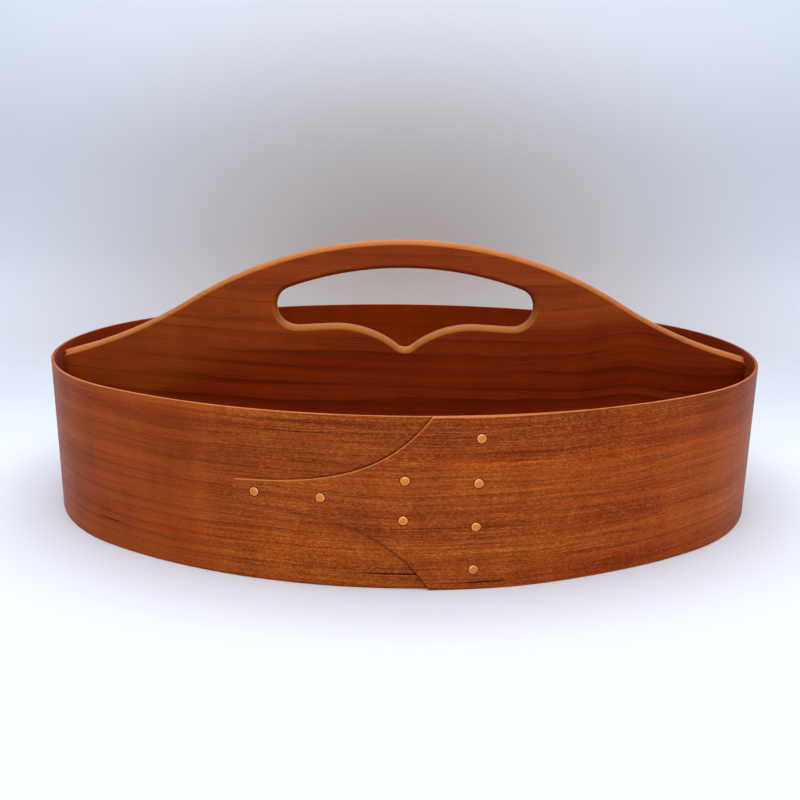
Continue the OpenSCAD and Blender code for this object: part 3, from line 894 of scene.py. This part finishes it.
strip_wood, tree, shader = start_material("strip_cherry")
place = add(tree, "UVMap", uv_map="strip").outputs[0]
spot = axes_of(tree, place)
wrapped = calc(tree, "WRAP", spot["X"], *mm(ROUND / 2, -ROUND / 2))
inside, front = mark_of(tree, "inside"), mark_of(tree, "front")
figured = times(tree, step(tree, wrapped, *mm(*FIGURE_LEFT)), step(tree, wrapped, *mm(*FIGURE_RIGHT)))
lines = times(tree, ramp(tree, inside, LINES_OUT, LINES_IN), ramp(tree, figured, LINES_PLAIN, 1.0))
flecks = times(tree, ramp(tree, figured, FLECKS_PLAIN, FLECKS_FIGURED),
               ramp(tree, inside, 1.0, FLECKS_IN))
hairs = ramp(tree, figured, HAIRS_PLAIN, HAIRS_FIGURED)
grain = add(tree, "Group", {"Place": place, "Lines": lines, "Hairs": hairs, "Flecks": flecks,
                            "Shimmer": 0.14}, node_tree=cherry)
# the inner face, inside the tray, is painted a darker red as shade
wood = mix(tree, inside, grain.outputs["Colour"], INSIDE_SHADE, "MULTIPLY")
nearest = 1.0
for along_strip, up in tack_spots:
    gap = measure(tree, "DISTANCE", place, mm(along_strip, up, 0))
    nearest = calc(tree, "MINIMUM", gap, nearest)
# dark ring painted round every tack: partly oily crushed fibres, partly painted shade in the gap
# round the head
colour = mix(tree, step(tree, nearest, *mm(RING_OUT, RING_IN)), wood, GUM_AND_SHADE)
print(f"{len(tack_spots)} tack rings on the strip")

# %% [markdown]
# Streaks give the strip its own face. Each has a place along and up the strip, half a length, half a
# height, a tint and a share. The tints multiply the wood, so that its grain shows through, and only
# gum covers it.

# %% Strip material, streaks
GOLD, RUST = (1.46, 1.88, 1.43, 1), (1.53, 1.28, 0.65, 1)
SHADE, EMBER = (0.38, 0.36, 0.33, 1), (0.82, 0.46, 0.3, 1)
streaks = [
    (60, 74.6, 95, 2.4, GOLD, 0.4), (45, 72.3, 75, 0.5, SHADE, 0.7), (38, 68, 75, 0.5, SHADE, 0.7),
    (40, 58, 80, 16, SHADE, 0.15), (ROUND - 95, 54.5, 110, 3.2, RUST, 0.42),
    (ROUND - 95, 61.5, 100, 3.5, SHADE, 0.2), (ROUND - 92, 6.5, 16, 0.5, GUM_AND_SHADE, 0.5),
    (141.5, 13, 11, 0.75, GUM_AND_SHADE, 0.75), (143.5, 19.5, 0.8, 10, GUM_AND_SHADE, 0.3),
    (45, 12, 75, 15, GOLD, 0.3), (ROUND - 125, 38, 130, 60, RUST, 0.22),
    (ROUND - 95, 3, 110, 13, EMBER, 0.35), (ROUND - 85, 73, 90, 3, GOLD, 0.35),
    (70, 17, 120, 5, RUST, 0.4), (ROUND - 25, 17, 110, 5, GOLD, 0.4),
    (ROUND - 98, 42, 45, 60, EMBER, 0.2), (100, 52, 60, 12, SHADE, 0.22),
    (105, 65, 45, 8, SHADE, 0.26), (ROUND - 55, 30, 45, 4, GOLD, 0.35),
    (ROUND - 28, 57, 60, 3.5, RUST, 0.4), (ROUND - 158, 28, 34, 40, GOLD, 0.36),
    (-3, 6.7, 46, 0.7, GUM_AND_SHADE, 1.0), (ROUND - 33.7, 3.15, 21, 0.7, GUM_AND_SHADE, 1.0)]
for along_strip, up, half_long, half_high, tint, share in streaks:
    streak = add(tree, "Group", {"Place": place, "Middle": mm(along_strip, up, 0),
                                 "Half size": (*mm(half_long, half_high), 1.0)}, node_tree=spindle)
    share = times(tree, streak.outputs["Mask"], share)
    colour = mix(tree, share, colour, tint, "MIX" if tint == GUM_AND_SHADE else "MULTIPLY")
print(f"{len(streaks)} streaks in the strip")

# %% [markdown]
# Where the finger's edges meet the layer below, a dark line is painted in the corner: along the
# upper edge it is partly a glue line and partly painted shade, along the lower edge it is painted
# shadow. The upper edge itself gets a painted highlight. The edges are known curves on the flat
# map, the same for both layers once the second round is wrapped back on the first, so the lines
# are drawn by the height above or below these curves. The dark ones fade towards the thin tip, the
# lower one sooner.

# %% Strip material, seam under the finger
SEAM_HIGH, SEAM_LOW, SEAM_REACH, SEAM_SHARE = 0.75, 1.8, 40, 0.8
BRIGHT, BRIGHT_ROOT, BRIGHT_TIP, HIGHLIGHT_TINT = 0.5, 0.4, 0.9, seen(226, 136, 62)
EDGE_FRONT, EDGE_BACK, EDGE_LEAST = (0.2, 0.9), (-0.8, -0.97), 0.1
STRIP_BUMP = 0.25


def off_edge(tree, height, flare, tip, root):
    """Distance in height from an edge of the finger: the edge is at tip plus (root - tip) times the
    flare, which is 1 at the root and fades e-fold in every flare length."""
    edge = calc(tree, "MULTIPLY_ADD", flare, *mm(root - tip, tip))
    return calc(tree, "ABSOLUTE", calc(tree, "SUBTRACT", height, edge))


widen = calc(tree, "MULTIPLY_ADD", wrapped, -1 / (FINGER_FLARE * MM), -FINGER_ROOT / FINGER_FLARE)
flare = calc(tree, "EXPONENT", widen)
over = off_edge(tree, spot["Y"], flare, FINGER_Z + FINGER_TIP, BAND_H)
under = off_edge(tree, spot["Y"], flare, FINGER_Z - FINGER_TIP, 0)
# painted shadow below the finger's lower edge
low_seam_shadow = times(tree, step(tree, under, *mm(SEAM_LOW, SEAM_LOW / 3)),
                 step(tree, wrapped, *mm(SEAM_REACH, 0)))
seam = calc(tree, "MAXIMUM", step(tree, over, *mm(SEAM_HIGH, SEAM_HIGH / 2)), low_seam_shadow)
lap_middle, lap_half = (FINGER_L - FINGER_ROOT) / 2, (FINGER_L + FINGER_ROOT) / 2
on_first = calc(tree, "COMPARE", spot["X"], *mm(lap_middle, lap_half))
on_second = calc(tree, "COMPARE", spot["X"], *mm(ROUND + lap_middle, lap_half))
tipward = step(tree, wrapped, *mm(0, FINGER_L))
seam = times(tree, times(tree, seam, on_first), ramp(tree, tipward, SEAM_SHARE, 0.0))
# dark line in the corner: along the upper edge partly a glue line and partly painted shade, along the
# lower edge painted shadow
colour = mix(tree, seam, colour, GUM_AND_SHADE)
# painted highlight along the finger's upper edge
lit = times(tree, step(tree, over, *mm(BRIGHT, BRIGHT / 4)), on_second)
lit = times(tree, lit, ramp(tree, tipward, BRIGHT_ROOT, BRIGHT_TIP))
colour = mix(tree, lit, colour, HIGHLIGHT_TINT)
# the pale upper edge, partly wear and partly painted highlight, is painted fully round the front and
# back and fades to a tenth round the ends
edge_reach = calc(tree, "MAXIMUM", step(tree, front, *EDGE_FRONT), step(tree, front, *EDGE_BACK))
edge = times(tree, mark_of(tree, "edge"), ramp(tree, edge_reach, EDGE_LEAST, 1.0))
# paler edges: partly wear, partly painted highlight
worn_and_lit = add(tree, "Group", {"Colour": colour, "Edge": edge, "Grain": grain.outputs["Height"]},
           node_tree=wear_and_light)
dress(tree, shader, worn_and_lit.outputs[0], grain, STRIP_BUMP, WOOD_PLAIN)
wear(band, strip_wood)
print(f"strip_cherry: {len(tree.nodes)} nodes")

# %% [markdown]
# ## Finish of the boards
# The handle and the base are sawn boards, so their grain runs straight through the wood and is read
# from object coordinates, with the axes swapped so that x runs along the grain and y across it.
# The handle's lines climb towards its left end and rise over a hump near its right end, where a
# branch once pushed them aside. Lower down inside the tray, most at the right, shade is painted into
# the wood as a redder, darker tint, and its lines grow darker there too.

# %% Places in the boards
HUMP_X, HUMP_Z, HUMP_WIDE, HUMP_HIGH, HUMP_RISE = 118, 78, 20, 45, 5
SAG_X, SAG_REACH, SAG_RISE = 10, 170, 11


def board_place(tree, across, through):
    """Object coordinates with x kept along the grain and two other axes chosen."""
    axes = axes_of(tree, add(tree, "TexCoord").outputs["Object"])
    return place_of(tree, X=axes["X"], Y=axes[across], Z=axes[through])


def left_climb(tree, place):
    """Square of the distance left of the sag, as a share of its reach."""
    x = axes_of(tree, place)["X"]
    left = calc(tree, "MULTIPLY_ADD", x, -1 / (SAG_REACH * MM), SAG_X / SAG_REACH)
    return calc(tree, "POWER", calc(tree, "MAXIMUM", left, 0.0), 2.0)


def bend_lines(tree, place):
    """Moves places down where the lines rise: y minus rise times a Gaussian bell over the hump, and
    minus the climb at the left."""
    offset = vector(tree, "SUBTRACT", place, mm(HUMP_X, HUMP_Z, 0))
    shares = vector(tree, "DIVIDE", offset, (*mm(HUMP_WIDE, HUMP_HIGH), 1.0))
    squared = measure(tree, "DOT_PRODUCT", shares, shares)
    bell = calc(tree, "EXPONENT", times(tree, squared, -1.0))
    lower = times(tree, left_climb(tree, place), -SAG_RISE * MM)
    lower = calc(tree, "MULTIPLY_ADD", bell, -HUMP_RISE * MM, lower)
    return vector(tree, "ADD", place, place_of(tree, Y=lower))


print(f"lines rise {HUMP_RISE} mm over the hump and {SAG_RISE} mm to the left")

# %% Board materials
LOW_SHADE_TOP, LOW_SHADE_FULL, LOW_SHADE_LEAN, LOW_SHADE_SAG = 98, 70, 0.05, 60
LOW_SHADE_SHARE, LINES_PALE, LINES_LOW = 0.75, 0.36, 0.56
LOW_SHADE_TINT, LIP_HIGHLIGHT = seen(208, 147, 116), seen(196, 119, 50)
HANDLE_GRAIN = {"Ring gap": 9.0, "Hairs": 0.35, "Flecks": 0.12, "Pale": seen(173, 79, 26),
                "Red": seen(151, 60, 18)}
BASE_GRAIN = {"Ring gap": 7.0, "Lines": 0.4, "Flecks": 0.2}
BASE_SHIFT, BOARD_BUMP = (400, 300, 0), 0.2
handle_wood, tree, shader = start_material("handle_cherry")
place = board_place(tree, "Z", "Y")
axes = axes_of(tree, place)
height = calc(tree, "MULTIPLY_ADD", axes["X"], -LOW_SHADE_LEAN, axes["Y"])
climb = left_climb(tree, place)
height = calc(tree, "MULTIPLY_ADD", times(tree, climb, climb), LOW_SHADE_SAG * MM, height)
# painted shade, strongest low down and at the right, where less light reaches inside the tray
low_shade = step(tree, height, *mm(LOW_SHADE_TOP, LOW_SHADE_FULL))
lines = ramp(tree, low_shade, LINES_PALE, LINES_LOW)
grain = add(tree, "Group", {"Place": bend_lines(tree, place), "Lines": lines, **HANDLE_GRAIN},
            node_tree=cherry)
# painted shade as a redder, darker tint
shade_share = times(tree, low_shade, LOW_SHADE_SHARE)
colour = mix(tree, shade_share, grain.outputs["Colour"], LOW_SHADE_TINT, "MULTIPLY")
# painted highlight on the lip of the hand hole that looks up
colour = mix(tree, mark_of(tree, "lip"), colour, LIP_HIGHLIGHT)
# edges that look up get wear and a painted highlight, edges that look down painted shade
worn_and_lit = add(tree, "Group", {"Colour": colour, "Edge": mark_of(tree, "edge"),
                           "Grain": grain.outputs["Height"]}, node_tree=wear_and_light)
dress(tree, shader, worn_and_lit.outputs[0], grain, BOARD_BUMP, WOOD_PLAIN)
wear(board, handle_wood)

base_wood, tree, shader = start_material("base_cherry")
place = vector(tree, "ADD", board_place(tree, "Y", "Z"), mm(*BASE_SHIFT))
grain = add(tree, "Group", {"Place": place, **BASE_GRAIN}, node_tree=cherry)
dress(tree, shader, grain.outputs["Colour"], grain, BOARD_BUMP, WOOD_PLAIN)
wear(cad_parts["base_board"], base_wood)
print("boards:", handle_wood.name, base_wood.name)

# %% [markdown]
# ## Metal
# The tacks are copper that has been hammered and then wiped with oil, so they are bright but not
# polished, with a dull face and a painted highlight on the rim. The screws under the base are
# brass. Both use one group that breaks up the colour and the roughness with fine noise.

# %% Metal materials
MOTTLE_CELL, PATINA_STEP, PATINA_BRIGHT = (0.7, 0.7, 0.7), (0.4, 0.7), 0.3
DULL_ROUGHNESS, BRIGHT_ROUGHNESS, METAL_BUMP = 0.5, 0.4, 0.4
metal, feed, out = new_group(
    "hammered", {"Place": ("Vector", (0, 0, 0)), "Bright": ("Color", seen(236, 172, 110)),
                 "Dull": ("Color", seen(176, 104, 52)), "Rim": ("Float", 0.0)}, FINISH)
mottle = noise(metal, scale(metal, feed["Place"], 1 / MM), MOTTLE_CELL, 1, 3.0)
patina = step(metal, mottle, *PATINA_STEP)
# the rim mark paints a highlight: the rim takes the bright colour
bright = calc(metal, "MULTIPLY_ADD", patina, PATINA_BRIGHT, feed["Rim"])
metal.links.new(mix(metal, bright, feed["Dull"], feed["Bright"]), out["Colour"])
metal.links.new(ramp(metal, patina, DULL_ROUGHNESS, BRIGHT_ROUGHNESS), out["Roughness"])
metal.links.new(mottle, out["Height"])


def metal_material(name, bright, dull):
    """Material of hammered metal from a bright and a dull colour."""
    made, tree, shader = start_material(name)
    place = add(tree, "TexCoord").outputs["Object"]
    face = add(tree, "Group", {"Place": place, "Bright": bright, "Dull": dull,
                               "Rim": mark_of(tree, "rim")}, node_tree=metal)
    dress(tree, shader, face.outputs["Colour"], face, METAL_BUMP, {"Metallic": 1.0})
    return made


copper = metal_material("tack_copper", seen(228, 160, 90), seen(209, 118, 50))
brass = metal_material("screw_brass", seen(226, 190, 120), seen(178, 138, 74))
wear(lap_tacks, copper)
wear(end_tacks, copper)
wear(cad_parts["base_screws"], brass)
print("metals:", copper.name, brass.name)

# %% [markdown]
# ## Floor, backdrop and light
# The tray stands on a pale sweep that rises behind it, as in a small studio. The floor is a plain
# pale diffuse surface, so it keeps the soft shadow, and lies a hair below the tray. It could be two
# planes, but a bend between them leaves no line.

# %% Sweep
SWEEP_WIDE, SWEEP_FRONT, SWEEP_BACK, SWEEP_BEND, SWEEP_TOP = 6000, -3000, 900, 700, 3000
SWEEP_STEPS, SWEEP_DROP = 24, 0.1


def sweep_points():
    """Floor, quarter bend and wall as one profile, drawn out sideways in two columns."""
    bend = np.linspace(0, np.pi / 2, SWEEP_STEPS)
    y = np.concatenate([[SWEEP_FRONT], SWEEP_BACK + SWEEP_BEND * np.sin(bend),
                        [SWEEP_BACK + SWEEP_BEND]])
    z = np.concatenate([[0], SWEEP_BEND * (1 - np.cos(bend)), [SWEEP_TOP]]) - SWEEP_DROP
    x = np.array([-SWEEP_WIDE / 2, SWEEP_WIDE / 2])
    grid = np.broadcast_arrays(x[None, :], y[:, None], z[:, None])
    return np.stack(grid, axis=-1)


grid = sweep_points()
quads = np.arange(len(grid) - 1)[:, None] * 2 + np.array([0, 1, 3, 2])
mesh = bpy.data.meshes.new("sweep")
mesh.from_pydata((grid.reshape(-1, 3) * MM).tolist(), [], quads.tolist())
mesh.shade_smooth()
sweep = put_in_scene("sweep", mesh)
print(f"sweep {SWEEP_WIDE} mm wide")

# %% [markdown]
# The paper goes from its floor colour to its wall colour just behind the tray. Light is painted on
# it as well: the wall is painted a little dimmer higher up and brighter again at the top, and a
# broad soft warm shadow is painted behind the tray, which widens upwards. All of it is drawn by
# the distance up the sweep, y plus z, in metres.

# %% Paper of the sweep
FLOOR, WALL, SHADOW_TINT = seen(234, 236, 244), seen(224, 229, 239), seen(175, 155, 141)
WALL_STEP, DIM_STEP, BRIGHT_STEP = (0.0, 0.2), (0.75, 1.5), (1.35, 2.15)
DIMMER, BRIGHTER, PAPER_ROUGHNESS = 0.94, 0.33, 0.9
PATCH_UP, PATCH_WIDE, PATCH_HIGH, PATCH_SPREAD = 0.86, 0.337, 1.82, 1.5
PATCH_STEP, PATCH_START = (1.0, 0.0), (0.04, 0.375)
paper, tree, shader = start_material("sweep_paper")
axes = axes_of(tree, add(tree, "TexCoord").outputs["Object"])
up_sweep = calc(tree, "ADD", axes["Y"], axes["Z"])
pale = mix(tree, step(tree, up_sweep, *WALL_STEP), FLOOR, WALL)
# painted light on the wall: dimmer higher up, brighter again at the top
tone = ramp(tree, step(tree, up_sweep, *DIM_STEP), 1.0, DIMMER)
tone = calc(tree, "MULTIPLY_ADD", step(tree, up_sweep, *BRIGHT_STEP), BRIGHTER, tone)
spread = calc(tree, "MULTIPLY_ADD", up_sweep, PATCH_WIDE, PATCH_SPREAD * PATCH_WIDE)
aside = calc(tree, "DIVIDE", axes["X"], spread)
above = calc(tree, "DIVIDE", calc(tree, "SUBTRACT", up_sweep, PATCH_UP), PATCH_HIGH)
away = measure(tree, "LENGTH", place_of(tree, X=aside, Y=above))
# painted warm shadow behind the tray
shadow_share = times(tree, step(tree, away, *PATCH_STEP), step(tree, up_sweep, *PATCH_START))
tinted = mix(tree, shadow_share, scale(tree, pale, tone), SHADOW_TINT, "MULTIPLY")
tree.links.new(tinted, shader.inputs["Base Color"])
shader.inputs["Roughness"].default_value = PAPER_ROUGHNESS
wear(sweep, paper)
print(f"sweep_paper: {len(tree.nodes)} nodes")

# %% [markdown]
# A broad lamp overhead lights the rim and the handle's upper edges, a weaker one in front opens up
# the side, and a third lights the backdrop. The world adds a faint fill, and looks pale where it is
# seen past the sweep or mirrored in metal.

# %% Lamps
DAYLIGHT = (0.96, 1.0, 1.04)


def area_lamp(name, place, aim, size, watts):
    """Square daylight lamp at a place in millimetres, turned to look at a point."""
    data = bpy.data.lights.new(name, "AREA")
    data.size = size * MM
    data.energy = watts
    data.color = DAYLIGHT
    lamp = put_in_scene(name, data)
    lamp.rotation_mode = "QUATERNION"
    lamp.rotation_quaternion = Vector(np.array(aim) - np.array(place)).to_track_quat("-Z", "Y")
    lamp.location = np.array(place) * MM


area_lamp("overhead", place=(0, -150, 1300), aim=(0, 0, 0), size=1900, watts=30)
area_lamp("front", place=(0, -1700, 330), aim=(0, 0, 60), size=1200, watts=7.5)
area_lamp("backdrop", place=(0, 500, 1100), aim=(0, 1700, 700), size=800, watts=6)

# %% World
WORLD_FILL, WORLD_SEEN, WORLD_COLOUR = 0.06, 0.85, seen(226, 232, 244)
world = bpy.data.worlds.new("studio")
world.use_nodes = True
tree = world.node_tree
back = tree.nodes["Background"]
back.inputs["Color"].default_value = WORLD_COLOUR
ray = add(tree, "LightPath").outputs
shown = calc(tree, "MAXIMUM", ray["Is Camera Ray"], ray["Is Glossy Ray"])
shown = calc(tree, "MAXIMUM", shown, ray["Is Transmission Ray"])
tree.links.new(ramp(tree, shown, WORLD_FILL, WORLD_SEEN), back.inputs["Strength"])
bpy.context.scene.world = world
print(f"world {WORLD_FILL} as fill and {WORLD_SEEN} where it is seen")

# %% [markdown]
# ## Camera
# The camera was found from the photograph's rims and outline: it stands half a metre in front of
# the tray's middle and looks down by sixteen degrees. Its angles are turned into the three axes of
# the camera's own frame, which is what a matrix in Blender holds.

# %% Set up the camera
CAMERA_PLACE = np.array([-2.7, -501.5, 190.2])
YAW, PITCH, ROLL = 0.0011, 0.2781, 0.011
FOCAL_PIXELS, IMAGE_PIXELS, SENSOR = 976.3, 800, 36
ahead = np.array([math.sin(YAW) * math.cos(PITCH), math.cos(YAW) * math.cos(PITCH),
                  -math.sin(PITCH)])
level = np.array([math.cos(YAW), -math.sin(YAW), 0])
upright = np.cross(level, ahead)
right_axis = math.cos(ROLL) * level + math.sin(ROLL) * upright
up_axis = math.cos(ROLL) * upright - math.sin(ROLL) * level
pose = np.eye(4)
pose[:3, :] = np.stack([right_axis, up_axis, -ahead, CAMERA_PLACE * MM], axis=1)
lens = bpy.data.cameras.new("camera")
lens.sensor_width = SENSOR
lens.lens = FOCAL_PIXELS / IMAGE_PIXELS * SENSOR
camera = put_in_scene("camera", lens)
camera.matrix_world = Matrix(pose.tolist())
bpy.context.scene.camera = camera
bpy.context.scene.view_settings.view_transform = "Standard"
print(f"lens {lens.lens:.2f} mm")
